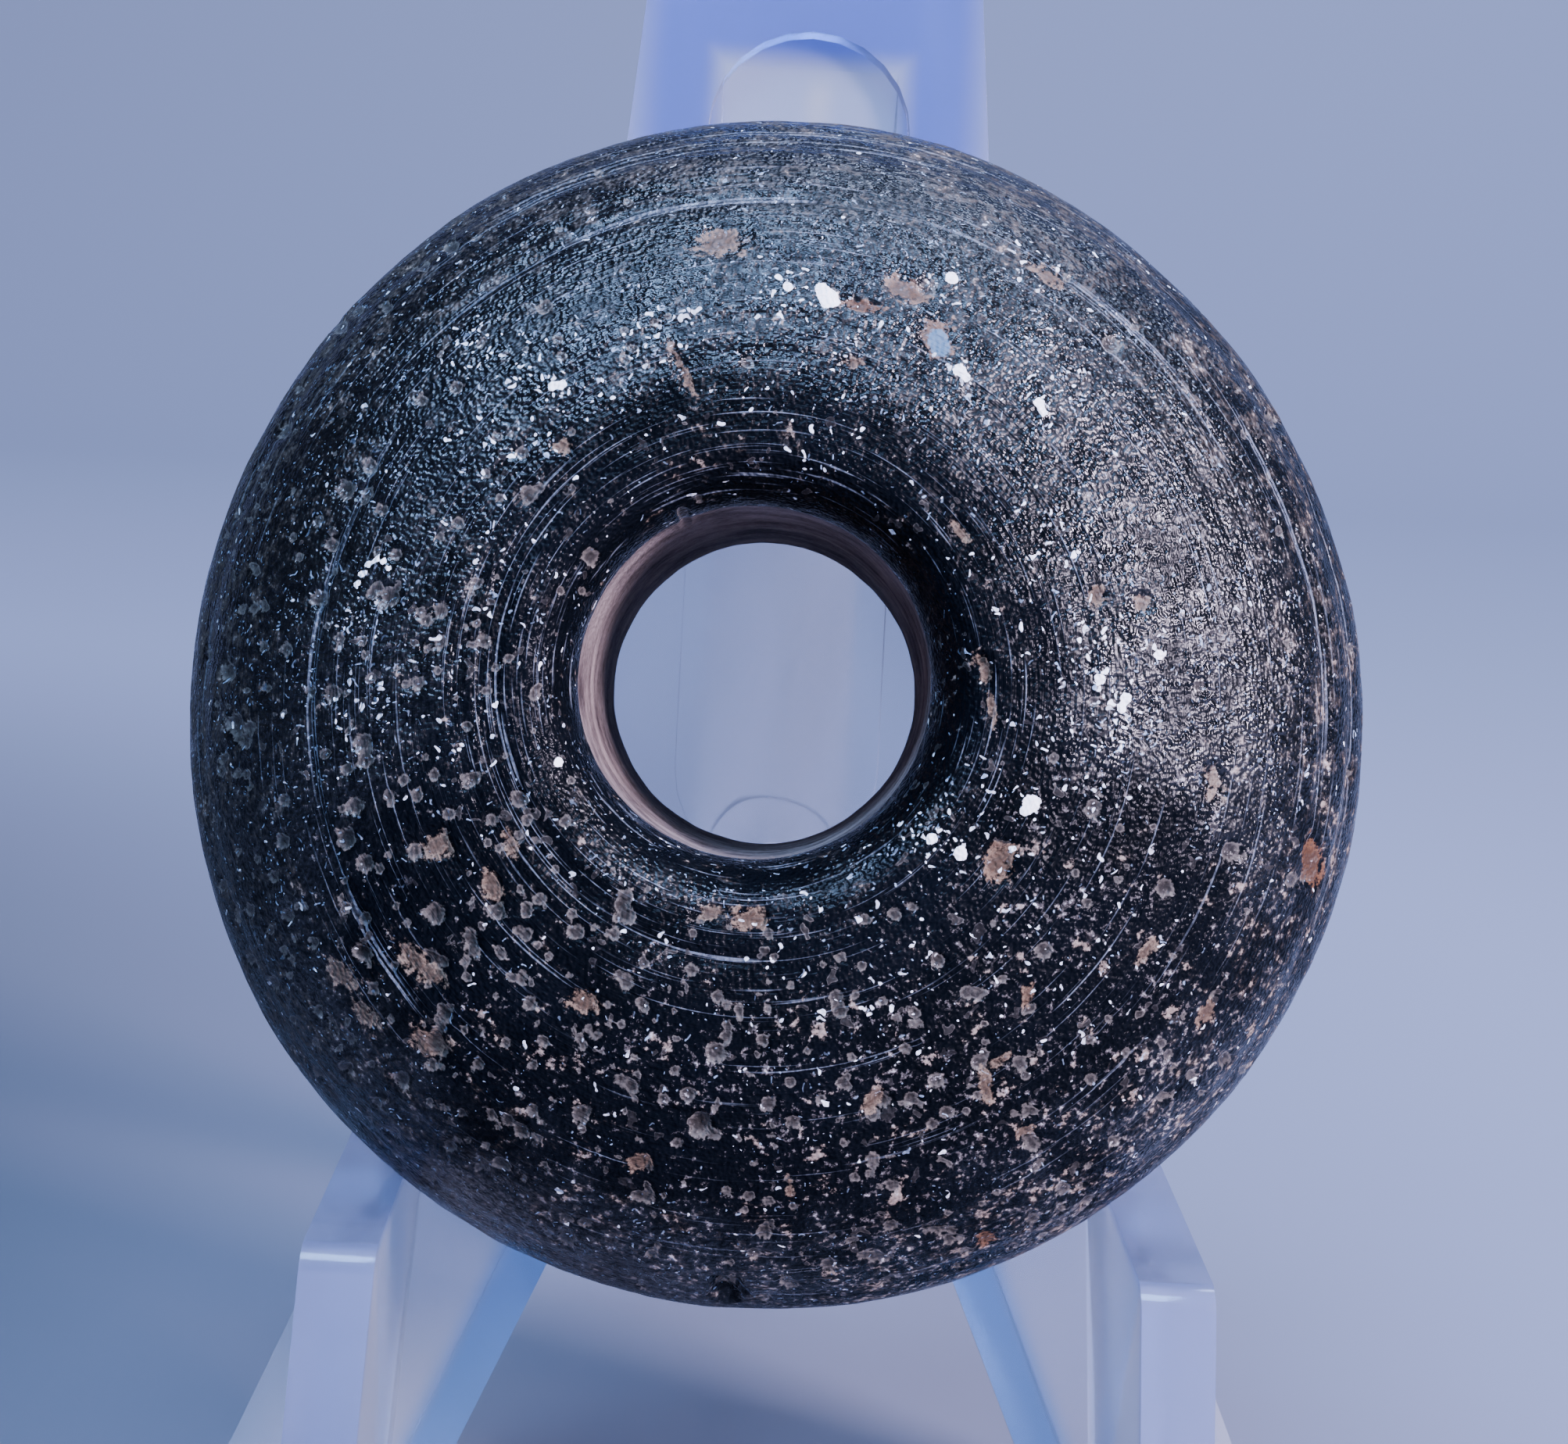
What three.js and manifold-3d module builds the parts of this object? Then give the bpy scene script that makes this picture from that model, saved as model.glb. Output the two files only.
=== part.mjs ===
// A glass spindle whorl, shaped like a flattened ring, leaning on a small clear display easel.
// Units are millimetres and +Z is up. The easel stands on Z = 0 and its front faces -Y.
// The origin is on the table, under the middle of the whole object.

import * as THREE from "three";
import { mergeVertices } from "three/addons/utils/BufferGeometryUtils.js";
import Module from "manifold-3d";

const { lerp, smoothstep, degToRad } = THREE.MathUtils;

// Whorl: the glass ring, measured across its face and along its bore
const WHORL_WIDTH = 29.8;
const WHORL_HEIGHT = 30.2;
const WHORL_THICKNESS = 16;
const FACE_FULLNESS = 2.15; // 2 gives a face of elliptic section, and more makes it fuller
const CREST_RADIUS = 5.6; // where each face stands furthest out, around the bore
const MOUTH_DEPTH = 2.3; // how deep the rounded mouth of the bore runs
const RIM_WANDER = 0.06; // how far the hand-shaped rim strays from a true oval

// Bore: it tapers a little, lies off the middle of the face and runs slightly aslant
const BORE_FRONT_DIAMETER = 8.25;
const BORE_BACK_DIAMETER = 8.05;
const BORE_SHIFT_SIDE = -0.45;
const BORE_SHIFT_UP = 0.7;
const BORE_SLANT = 0.03; // how far it drifts sideways for each millimetre from front to back

// Turned lines in the faces, each a shallow groove around the bore
const FRONT_GROOVE_RADII = [6.4, 12.1, 13.9];
const BACK_GROOVE_RADII = [12.6];
const GROOVE_HALF_WIDTH = 0.22;
const GROOVE_DEPTH = 0.12;

// Easel: one clear moulding with a leaning frame, two feet and a rear leg
const LEAN = degToRad(9);
const FRAME_THICKNESS = 1.9;
const FRAME_LENGTH = 45.8; // from the table to the top, along the frame
const POST_TOP_WIDTH = 9.1;
const POST_TAPER = 0.086; // how much each side spreads for each millimetre down
const POST_CORNER_RADIUS = 1.6;
const FLARE_START = 31; // height along the frame where the sides begin to curve out
const LEG_SPREAD = 30.8; // over both legs, at the table
const LEG_FLARE = 0.5; // how much each side spreads for each millimetre down, at the table

// Gap between the legs, an upside-down V with a rounded top
const GAP_TOP = 20;
const GAP_TOP_RADIUS = 0.6;
const GAP_SLOPE = 0.44;

// Panel sunk into the front of the post, and the bead that borders the gap at the back
const PANEL_WIDTH = 5.7;
const PANEL_DEPTH = 0.9;
const PANEL_TOP_CENTRE = 40;
const PANEL_BOTTOM_CENTRE = 22;
const BEAD_WIDTH = 1.3;
const BEAD_DEPTH = 1.1;

// Feet: two upright webs whose flat tops are the arms that the whorl rests on
const FOOT_THICKNESS = 1.8;
const FOOT_SPACING = 20.15; // between the middles of the two arms
const FOOT_REACH = 11.7; // how far the feet stand forward of the frame's table line
const FOOT_SPLAY = degToRad(3.5);
const FOOT_CORNER_RADIUS = 0.7;
const ARM_HEIGHT = 12.1;

// Rear leg: a flat bar from the back of the post to the table
const REAR_LEG_WIDTH = 5.1;
const REAR_LEG_THICKNESS = 1.9;
const REAR_LEG_TOP = 42.7; // height along the frame
const REAR_LEG_REACH = 29; // how far behind the frame's table line it stands
const KNEE_RADIUS = 2.4;

// Fits and smoothness
const SEAT_GAP = 0.3; // between the whorl and what it rests on
const SET_DOWN_SIDE = -0.2; // the whorl was set down this far from the easel's middle
const FUSE = 0.4; // how deep moulded parts run into each other
const WHORL_SEGMENTS = 80;
const DOME_STEPS = 10;
const MOUTH_STEPS = 4;
const ARC_STEPS = 6;
const RIM_SEARCH_STEPS = 90;

// Worked out from the sizes above
const RIM_RADIUS = (WHORL_WIDTH + WHORL_HEIGHT) / 4;
const HALF_THICKNESS = WHORL_THICKNESS / 2;
const ARM_INNER = (FOOT_SPACING - FOOT_THICKNESS) / 2;
const ARM_OUTER = (FOOT_SPACING + FOOT_THICKNESS) / 2;
const FRAME_CUT = 2 * FRAME_THICKNESS; // how far the frame runs on below the table before it is cut

const wasm = await Module();
wasm.setup();

// A closed three.js geometry as a solid that can be joined and cut
function solidFrom(geometry) {
  const bare = new THREE.BufferGeometry();
  bare.setAttribute("position", geometry.getAttribute("position"));
  bare.setIndex(geometry.getIndex());
  const merged = mergeVertices(bare, 1e-4);
  return new wasm.Manifold(
    new wasm.Mesh({
      numProp: 3,
      vertProperties: merged.getAttribute("position").array,
      triVerts: new Uint32Array(merged.getIndex().array),
    }),
  );
}

function geometryFrom(solid) {
  const made = solid.getMesh();
  const geometry = new THREE.BufferGeometry();
  geometry.setAttribute("position", new THREE.BufferAttribute(made.vertProperties, made.numProp));
  geometry.setIndex(new THREE.BufferAttribute(made.triVerts, 1));
  geometry.computeVertexNormals();
  return geometry;
}

// How far a face stands from the middle plane, at a distance from the bore's axis
function domeHeight(radius) {
  const across = (radius - CREST_RADIUS) / (RIM_RADIUS - CREST_RADIUS);
  const clamped = Math.min(Math.max(across, 0), 1);
  return HALF_THICKNESS * Math.pow(1 - Math.pow(clamped, FACE_FULLNESS), 1 / FACE_FULLNESS);
}

// Points of one face from the crest out to just short of the rim, with its grooves cut in
function facePoints(grooveRadii) {
  const points = [];
  for (let i = 0; i < DOME_STEPS; i++) {
    const radius = CREST_RADIUS + (RIM_RADIUS - CREST_RADIUS) * Math.sin((Math.PI / 2) * (i / DOME_STEPS));
    const clear = grooveRadii.every((groove) => Math.abs(radius - groove) > 2 * GROOVE_HALF_WIDTH);
    if (clear) points.push({ radius, height: domeHeight(radius) });
  }
  for (const groove of grooveRadii) {
    for (const side of [-1, 0, 1]) {
      const radius = groove + side * GROOVE_HALF_WIDTH;
      const sink = side === 0 ? GROOVE_DEPTH : 0;
      points.push({ radius, height: domeHeight(radius) - sink });
    }
  }
  return points.sort((a, b) => a.radius - b.radius);
}

// Points where a face rolls into the bore, from just inside the crest to the bore's wall
function mouthPoints(boreRadius) {
  const points = [];
  for (let i = 1; i <= MOUTH_STEPS; i++) {
    const turn = (Math.PI / 2) * (i / MOUTH_STEPS);
    points.push({
      radius: CREST_RADIUS - (CREST_RADIUS - boreRadius) * Math.sin(turn),
      height: HALF_THICKNESS - MOUTH_DEPTH * (1 - Math.cos(turn)),
    });
  }
  return points;
}

// The whorl's closed section, turned about Y: front face, rim, back face, bore
function whorlSection() {
  const front = (p) => new THREE.Vector2(p.radius, -p.height);
  const back = (p) => new THREE.Vector2(p.radius, p.height);
  const section = [
    ...facePoints(FRONT_GROOVE_RADII).map(front),
    new THREE.Vector2(RIM_RADIUS, 0),
    ...facePoints(BACK_GROOVE_RADII).map(back).reverse(),
    ...mouthPoints(BORE_BACK_DIAMETER / 2).map(back),
    ...mouthPoints(BORE_FRONT_DIAMETER / 2).map(front).reverse(),
  ];
  section.push(section[0].clone());
  return section;
}

// Moves a point of the true turned ring to where it lies in the hand-made one:
// the bore slides off centre and the rim becomes a slightly uneven oval.
function handShaped(point) {
  const radius = Math.hypot(point.x, point.z);
  const angle = Math.atan2(point.z, point.x);
  const outward = smoothstep(radius, BORE_BACK_DIAMETER / 2, RIM_RADIUS);
  const wander = 1 + (outward * RIM_WANDER * Math.cos(3 * angle + 1)) / RIM_RADIUS;
  point.x *= wander * lerp(1, WHORL_WIDTH / (2 * RIM_RADIUS), outward);
  point.z *= wander * lerp(1, WHORL_HEIGHT / (2 * RIM_RADIUS), outward);
  point.x += (BORE_SHIFT_SIDE + BORE_SLANT * point.y) * (1 - outward);
  point.z += BORE_SHIFT_UP * (1 - outward);
  return point;
}

// The whorl about its own centre, with the bore along Y
function whorlGeometry() {
  const geometry = new THREE.LatheGeometry(whorlSection(), WHORL_SEGMENTS);
  const position = geometry.getAttribute("position");
  const point = new THREE.Vector3();
  for (let i = 0; i < position.count; i++) {
    handShaped(point.fromBufferAttribute(position, i));
    position.setXYZ(i, point.x, point.y, point.z);
  }
  geometry.computeVertexNormals();
  return geometry;
}

// How far the leaning whorl's underside lies below its centre, over the width of an arm
function whorlDrop() {
  let drop = 0;
  const point = new THREE.Vector3();
  for (let i = 0; i <= RIM_SEARCH_STEPS; i++) {
    const radius = lerp(CREST_RADIUS, RIM_RADIUS, Math.sin((Math.PI / 2) * (i / RIM_SEARCH_STEPS)));
    for (let j = 0; j <= 2 * RIM_SEARCH_STEPS; j++) {
      const angle = Math.PI * (1 + j / (2 * RIM_SEARCH_STEPS));
      point.set(radius * Math.cos(angle), domeHeight(radius), radius * Math.sin(angle));
      handShaped(point);
      const side = Math.abs(point.x + SET_DOWN_SIDE);
      const overArm = side >= ARM_INNER && side <= ARM_OUTER;
      if (overArm) drop = Math.max(drop, -point.z * Math.cos(LEAN) + point.y * Math.sin(LEAN));
    }
  }
  return drop;
}

// Where the whorl's centre lies, touching the arms below it and the frame behind it
function whorlCentre() {
  const ahead = HALF_THICKNESS + SEAT_GAP;
  const height = ARM_HEIGHT + SEAT_GAP + whorlDrop();
  const alongFrame = (height - ahead * Math.sin(LEAN)) / Math.cos(LEAN);
  return new THREE.Vector3(SET_DOWN_SIDE, -ahead * Math.cos(LEAN) + alongFrame * Math.sin(LEAN), height);
}

// Sets an outline drawn in X and frame height into the leaning frame, from one depth to another
function inFrame(shape, from, to) {
  const geometry = new THREE.ExtrudeGeometry(shape, {
    depth: to - from,
    bevelEnabled: false,
    curveSegments: ARC_STEPS,
  });
  geometry.rotateX(Math.PI / 2);
  geometry.translate(0, to, 0);
  geometry.rotateX(-LEAN);
  return solidFrom(geometry);
}

// Sets an outline drawn in Y and Z between two X values
function acrossX(shape, from, to) {
  const geometry = new THREE.ExtrudeGeometry(shape, {
    depth: to - from,
    bevelEnabled: false,
    curveSegments: ARC_STEPS,
  });
  const turn = new THREE.Matrix4().makeBasis(
    new THREE.Vector3(0, 1, 0),
    new THREE.Vector3(0, 0, 1),
    new THREE.Vector3(1, 0, 0),
  );
  geometry.applyMatrix4(turn);
  geometry.translate(from, 0, 0);
  return geometry;
}

// World Y and Z of a point given by its depth behind the frame's front and its height along it
function framePoint(depth, along) {
  return new THREE.Vector2(
    depth * Math.cos(LEAN) + along * Math.sin(LEAN),
    -depth * Math.sin(LEAN) + along * Math.cos(LEAN),
  );
}

// The frame's outer edge, right side from top to bottom, then the left side mirrored
function frameOutline() {
  const topHalf = POST_TOP_WIDTH / 2;
  const bottomHalf = LEG_SPREAD / 2 + LEG_FLARE * FRAME_CUT;
  const flareHalf = topHalf + POST_TAPER * (FRAME_LENGTH - FLARE_START);
  const bend =
    (bottomHalf - flareHalf - LEG_FLARE * (FLARE_START + FRAME_CUT)) / (POST_TAPER - LEG_FLARE);
  const bendHalf = flareHalf + POST_TAPER * bend;
  const bendHeight = FLARE_START - bend;
  const corner = POST_CORNER_RADIUS;
  const outline = new THREE.Shape();
  outline.moveTo(-topHalf + corner, FRAME_LENGTH);
  outline.lineTo(topHalf - corner, FRAME_LENGTH);
  outline.quadraticCurveTo(topHalf, FRAME_LENGTH, topHalf + POST_TAPER * corner, FRAME_LENGTH - corner);
  outline.lineTo(flareHalf, FLARE_START);
  outline.quadraticCurveTo(bendHalf, bendHeight, bottomHalf, -FRAME_CUT);
  outline.lineTo(-bottomHalf, -FRAME_CUT);
  outline.quadraticCurveTo(-bendHalf, bendHeight, -flareHalf, FLARE_START);
  outline.lineTo(-topHalf - POST_TAPER * corner, FRAME_LENGTH - corner);
  outline.quadraticCurveTo(-topHalf, FRAME_LENGTH, -topHalf + corner, FRAME_LENGTH);
  return outline;
}

// The gap between the legs, grown by a margin on every side
function gapOutline(margin) {
  const lean = Math.atan(GAP_SLOPE);
  const radius = GAP_TOP_RADIUS + margin;
  const centre = GAP_TOP - GAP_TOP_RADIUS;
  const bottom = -FRAME_CUT - FRAME_THICKNESS;
  const tangent = new THREE.Vector2(radius * Math.cos(lean), centre + radius * Math.sin(lean));
  const bottomHalf = tangent.x + (tangent.y - bottom) * GAP_SLOPE;
  const outline = new THREE.Shape();
  outline.moveTo(-bottomHalf, bottom);
  outline.lineTo(bottomHalf, bottom);
  outline.lineTo(tangent.x, tangent.y);
  outline.absarc(0, centre, radius, lean, Math.PI - lean, false);
  outline.lineTo(-bottomHalf, bottom);
  return outline;
}

// The sunk panel, with round ends
function panelOutline() {
  const half = PANEL_WIDTH / 2;
  const outline = new THREE.Shape();
  outline.absarc(0, PANEL_TOP_CENTRE, half, 0, Math.PI, false);
  outline.absarc(0, PANEL_BOTTOM_CENTRE, half, Math.PI, 2 * Math.PI, false);
  outline.lineTo(half, PANEL_TOP_CENTRE);
  return outline;
}

// The leaning frame with its gap, panel and bead
function frameSolid() {
  const proud = PANEL_DEPTH + FUSE;
  const plate = inFrame(frameOutline(), 0, FRAME_THICKNESS);
  const bead = inFrame(
    gapOutline(BEAD_WIDTH),
    FRAME_THICKNESS - FUSE,
    FRAME_THICKNESS + BEAD_DEPTH,
  );
  const gap = inFrame(gapOutline(0), -proud, FRAME_THICKNESS + BEAD_DEPTH + proud);
  const panel = inFrame(panelOutline(), -proud, PANEL_DEPTH);
  return plate.subtract(panel).add(bead).subtract(gap);
}

// One foot, an upright web from its flat top down to the table, that spreads outwards as it goes down
function footSolid(side) {
  const corner = FOOT_CORNER_RADIUS;
  const backAtArm = framePoint(FRAME_THICKNESS, ARM_HEIGHT / Math.cos(LEAN));
  const backAtTable = framePoint(FRAME_THICKNESS, 0);
  const web = new THREE.Shape();
  web.moveTo(-FOOT_REACH, 0);
  web.lineTo(backAtTable.x, 0);
  web.lineTo(backAtArm.x, ARM_HEIGHT);
  web.lineTo(-FOOT_REACH + corner, ARM_HEIGHT);
  web.absarc(-FOOT_REACH + corner, ARM_HEIGHT - corner, corner, Math.PI / 2, Math.PI, false);
  web.lineTo(-FOOT_REACH, 0);
  const geometry = acrossX(web, -FOOT_THICKNESS / 2, FOOT_THICKNESS / 2);
  const position = geometry.getAttribute("position");
  for (let i = 0; i < position.count; i++) {
    const spread = Math.tan(FOOT_SPLAY) * (ARM_HEIGHT - position.getZ(i));
    position.setX(i, position.getX(i) + side * (FOOT_SPACING / 2 + spread));
  }
  return solidFrom(geometry);
}

// The rear leg, with a knee where it leaves the back of the post
function rearLegSolid() {
  const depth = FRAME_THICKNESS - FUSE;
  const top = framePoint(depth, REAR_LEG_TOP);
  const heel = new THREE.Vector2(REAR_LEG_REACH, 0);
  const slope = new THREE.Vector2().subVectors(heel, top).normalize();
  const footLength = REAR_LEG_THICKNESS / -slope.y;
  const toe = new THREE.Vector2(REAR_LEG_REACH - footLength, 0);
  // The knee's point on the frame lies where the leg's lower face would meet it.
  const up = framePoint(0, 1);
  const start = framePoint(depth, 0);
  const along = new THREE.Vector2().subVectors(toe, start).cross(slope) / up.cross(slope);
  const knee = framePoint(depth, along);
  const kneeOnFrame = framePoint(depth, along - KNEE_RADIUS);
  const kneeOnLeg = knee.clone().addScaledVector(slope, KNEE_RADIUS);
  const bar = new THREE.Shape();
  bar.moveTo(top.x, top.y);
  bar.lineTo(kneeOnFrame.x, kneeOnFrame.y);
  bar.quadraticCurveTo(knee.x, knee.y, kneeOnLeg.x, kneeOnLeg.y);
  bar.lineTo(toe.x, toe.y);
  bar.lineTo(heel.x, heel.y);
  bar.lineTo(top.x, top.y);
  return solidFrom(acrossX(bar, -REAR_LEG_WIDTH / 2, REAR_LEG_WIDTH / 2));
}

// The whole easel, cut level where it stands on the table
function easelGeometry() {
  const whole = frameSolid()
    .add(footSolid(-1))
    .add(footSolid(1))
    .add(rearLegSolid());
  const room = 2 * FRAME_LENGTH;
  const above = new THREE.BoxGeometry(2 * room, 2 * room, room).translate(0, 0, room / 2);
  return geometryFrom(whole.intersect(solidFrom(above)));
}

function blackGlass() {
  return new THREE.MeshStandardMaterial({ color: 0x12161d, roughness: 0.42, metalness: 0 });
}

function clearPlastic() {
  return new THREE.MeshStandardMaterial({
    color: 0xccd3ee,
    roughness: 0.08,
    metalness: 0,
    transparent: true,
    opacity: 0.35,
  });
}

const whorl = new THREE.Mesh(whorlGeometry(), blackGlass());
whorl.name = "spindle_whorl";
whorl.rotation.x = -LEAN;
whorl.position.copy(whorlCentre());

const easel = new THREE.Mesh(easelGeometry(), clearPlastic());
easel.name = "display_easel";

// Both pieces stand where they rest, moved together so that the origin is under their middle
const spindleWhorlOnEasel = new THREE.Group();
spindleWhorlOnEasel.add(whorl, easel);
const middle = new THREE.Box3().setFromObject(spindleWhorlOnEasel, true).getCenter(new THREE.Vector3());
spindleWhorlOnEasel.position.set(-middle.x, -middle.y, 0);

export default spindleWhorlOnEasel;
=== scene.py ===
# A spindle whorl of weathered black glass, resting on a small moulded easel of clear plastic.
# Blender works in metres. Sizes of the whorl itself are in millimetres, and places on its face
# are (x, z) from the middle of the face, with x to the right and z up as seen from the front.

import math

import bpy
import numpy as np
from mathutils import Matrix, Vector, noise


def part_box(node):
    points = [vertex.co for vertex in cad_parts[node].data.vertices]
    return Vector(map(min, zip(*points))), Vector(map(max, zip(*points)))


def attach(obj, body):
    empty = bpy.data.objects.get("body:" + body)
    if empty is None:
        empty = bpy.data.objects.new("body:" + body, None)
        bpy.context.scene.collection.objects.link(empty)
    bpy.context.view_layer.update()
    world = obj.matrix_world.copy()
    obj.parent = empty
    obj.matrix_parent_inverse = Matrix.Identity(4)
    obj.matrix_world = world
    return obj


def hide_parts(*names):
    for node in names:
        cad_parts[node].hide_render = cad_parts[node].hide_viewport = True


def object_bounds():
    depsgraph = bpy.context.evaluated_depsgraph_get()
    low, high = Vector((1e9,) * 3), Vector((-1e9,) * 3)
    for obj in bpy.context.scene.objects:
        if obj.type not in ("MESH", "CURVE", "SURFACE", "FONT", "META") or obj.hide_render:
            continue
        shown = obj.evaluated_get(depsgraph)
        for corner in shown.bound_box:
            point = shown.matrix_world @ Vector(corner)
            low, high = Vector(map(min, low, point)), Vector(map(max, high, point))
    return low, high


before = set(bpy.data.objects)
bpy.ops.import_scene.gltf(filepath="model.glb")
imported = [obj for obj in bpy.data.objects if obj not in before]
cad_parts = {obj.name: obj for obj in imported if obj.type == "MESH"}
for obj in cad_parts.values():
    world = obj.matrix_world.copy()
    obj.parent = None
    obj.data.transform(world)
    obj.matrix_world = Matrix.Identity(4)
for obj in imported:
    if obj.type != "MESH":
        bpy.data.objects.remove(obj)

cad_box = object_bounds()

MM = 0.001
SEED = 7

# The turned ring, the same sizes as in the solid model, in millimetres
LEAN = math.radians(9)
WHORL_WIDTH, WHORL_HEIGHT = 29.8, 30.2
HALF_THICKNESS = 8.0
RIM_RADIUS = (WHORL_WIDTH + WHORL_HEIGHT) / 4
FACE_FULLNESS = 2.15
CREST_RADIUS = 5.6
MOUTH_DEPTH = 2.3
RIM_WANDER = 0.06
FRONT_BORE, BACK_BORE = 8.25 / 2, 8.05 / 2
BORE_SHIFT_SIDE, BORE_SHIFT_UP, BORE_SLANT = -0.45, 0.7, 0.03

# Mesh spacing along the section, finest on the face that shows, in millimetres
FACE_STEP, MOUTH_STEP, BORE_STEP, BACK_STEP = 0.118, 0.14, 0.5, 0.42
TURN_STEPS = 486

# The photograph's frame and the place it was taken from
PHOTO_WIDTH, PHOTO_HEIGHT = 2006, 1848
FOCAL_PIXELS = 4200
WHORL_PIXEL = (995, 914)
CAMERA_DISTANCE = 83.9 * MM
LOOK_DOWN = math.radians(8.3)
LOOK_ASIDE = math.radians(1.0)
CAMERA_ROLL = math.radians(3.1)
SENSOR_WIDTH = 36


def colour(hex_value):
    """Linear RGBA of an sRGB hex colour."""
    channels = [int(hex_value[i:i + 2], 16) / 255 for i in (1, 3, 5)]
    linear = [c / 12.92 if c <= 0.04045 else ((c + 0.055) / 1.055) ** 2.4 for c in channels]
    return (*linear, 1.0)


def find_socket(sockets, name):
    """A socket by its number, its identifier or its name."""
    if isinstance(name, int):
        return sockets[name]
    return next((s for s in sockets if s.identifier == name), None) or sockets[name]


def add(tree, kind, settings=None, inputs=None, output=0):
    """Adds a node with its settings, sets or links its inputs, and gives back one of its outputs."""
    node = tree.nodes.new(kind)
    for name, value in (settings or {}).items():
        setattr(node, name, value)
    for name, value in (inputs or {}).items():
        socket = find_socket(node.inputs, name)
        if isinstance(value, bpy.types.NodeSocket):
            tree.links.new(value, socket)
        else:
            socket.default_value = value
    return None if output is None else find_socket(node.outputs, output)


def new_material(name):
    material = bpy.data.materials.new(name)
    material.use_nodes = True
    material.node_tree.nodes.clear()
    return material, material.node_tree


def select_only(piece):
    bpy.ops.object.select_all(action="DESELECT")
    piece.select_set(True)
    bpy.context.view_layer.objects.active = piece


def smooth_step(value, low, high):
    share = np.clip((value - low) / (high - low), 0, 1)
    return share * share * (3 - 2 * share)


# The ring's form


def evenly(points, step):
    """The same line with points an even step apart, without its last point."""
    points = np.array(points)
    along = np.concatenate([[0], np.cumsum(np.hypot(*np.diff(points, axis=0).T))])
    count = max(2, round(along[-1] / step))
    places = np.linspace(0, along[-1], count, endpoint=False)
    return np.column_stack([np.interp(places, along, points[:, k]) for k in (0, 1)])


def ring_section():
    """The closed section, as distance from the bore's axis and depth, from the front crest round."""
    turn = np.linspace(0, math.pi / 2, 600)
    across = CREST_RADIUS + (RIM_RADIUS - CREST_RADIUS) * np.sin(turn)
    share = np.clip((across - CREST_RADIUS) / (RIM_RADIUS - CREST_RADIUS), 0, 1)
    height = HALF_THICKNESS * (1 - share ** FACE_FULLNESS) ** (1 / FACE_FULLNESS)
    dip = HALF_THICKNESS - MOUTH_DEPTH * (1 - np.cos(turn))
    back_mouth = np.column_stack([CREST_RADIUS - (CREST_RADIUS - BACK_BORE) * np.sin(turn), dip])
    front_mouth = np.column_stack([CREST_RADIUS - (CREST_RADIUS - FRONT_BORE) * np.sin(turn), -dip])
    bore = [back_mouth[-1], front_mouth[-1]]
    return np.concatenate([
        evenly(np.column_stack([across, -height]), FACE_STEP),
        evenly(np.column_stack([across, height])[::-1], BACK_STEP),
        evenly(back_mouth, BACK_STEP),
        evenly(bore, BORE_STEP),
        evenly(front_mouth[::-1], MOUTH_STEP),
    ])


def turned_ring():
    """A fine grid rolled up along the section and round the bore's axis."""
    section = ring_section()
    bpy.ops.object.select_all(action="DESELECT")
    bpy.ops.mesh.primitive_grid_add(x_subdivisions=len(section), y_subdivisions=TURN_STEPS)
    ring = bpy.context.object
    section = np.vstack([section, section[:1]])
    turn = np.linspace(0, 2 * math.pi, TURN_STEPS + 1)
    across = np.tile(section[:, 0], TURN_STEPS + 1)
    depth = np.tile(section[:, 1], TURN_STEPS + 1)
    turn = np.repeat(turn, len(section))
    write_points(ring, np.column_stack([across * np.cos(turn), depth, across * np.sin(turn)]) * MM)
    bpy.ops.object.mode_set(mode="EDIT")
    bpy.ops.mesh.select_all(action="SELECT")
    bpy.ops.mesh.remove_doubles(threshold=0.001 * MM)
    bpy.ops.mesh.normals_make_consistent(inside=False)
    bpy.ops.object.mode_set(mode="OBJECT")
    return ring


def read_points(piece):
    flat = np.empty(len(piece.data.vertices) * 3, np.float32)
    piece.data.vertices.foreach_get("co", flat)
    return flat.reshape(-1, 3).astype(float)


def write_points(piece, points):
    piece.data.vertices.foreach_set("co", points.astype(np.float32).ravel())
    piece.data.update()


def read_normals(piece):
    flat = np.empty(len(piece.data.vertices) * 3, np.float32)
    piece.data.vertices.foreach_get("normal", flat)
    return flat.reshape(-1, 3).astype(float)


def hand_shaped(points):
    """Slides the bore off the middle and makes the rim a slightly uneven oval, in millimetres."""
    shaped = points.copy()
    across = np.hypot(points[:, 0], points[:, 2])
    angle = np.arctan2(points[:, 2], points[:, 0])
    outward = smooth_step(across, BACK_BORE, RIM_RADIUS)
    wander = 1 + outward * RIM_WANDER * np.cos(3 * angle + 1) / RIM_RADIUS
    shaped[:, 0] *= wander * (1 + (WHORL_WIDTH / (2 * RIM_RADIUS) - 1) * outward)
    shaped[:, 2] *= wander * (1 + (WHORL_HEIGHT / (2 * RIM_RADIUS) - 1) * outward)
    shaped[:, 0] += (BORE_SHIFT_SIDE + BORE_SLANT * points[:, 1]) * (1 - outward)
    shaped[:, 2] += BORE_SHIFT_UP * (1 - outward)
    return shaped


# The ring's surface. Each mark adds to its relief, in millimetres along the normal, and to one of
# the fields that its material reads. A field falls off smoothly, and the material cuts it crisply.

FIELDS = ("line", "earth", "rust", "blue", "pit", "spot", "white", "grains_and_glints", "grit", "film_and_sheen", "bore", "depth")

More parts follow.
